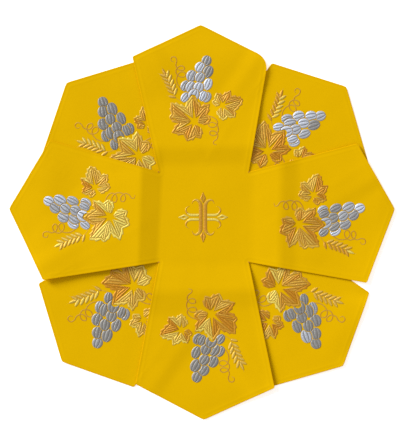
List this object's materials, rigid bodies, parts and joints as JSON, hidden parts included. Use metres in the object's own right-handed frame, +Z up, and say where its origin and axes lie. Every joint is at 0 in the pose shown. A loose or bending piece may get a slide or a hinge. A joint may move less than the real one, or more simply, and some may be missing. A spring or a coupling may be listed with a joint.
{
  "type": "chalice veil",
  "caption": "Flat-lying liturgical veil of crossed cross-shaped cloths, with pointed flaps, grape-and-wheat sprays and a small centre cross in satin stitch.",
  "frame": {"origin": "under the middle of the veil's box, on the surface it rests on", "axes": "+Z up out of the surface, +Y towards the top flap of the upper cloth, +X to its right"},
  "size_m": [0.5578, 0.5714, 0.0085],
  "materials": {
    "satin": "golden yellow twill with a soft sheen",
    "silver_thread": "blue-grey silver embroidery thread in satin stitch",
    "gold_thread": "old-gold embroidery thread in satin stitch, pale gold where it catches the light"
  },
  "bodies": {
    "root": {"upper_cloth": "satin", "lower_cloth": "satin"}
  },
  "joints": []
}
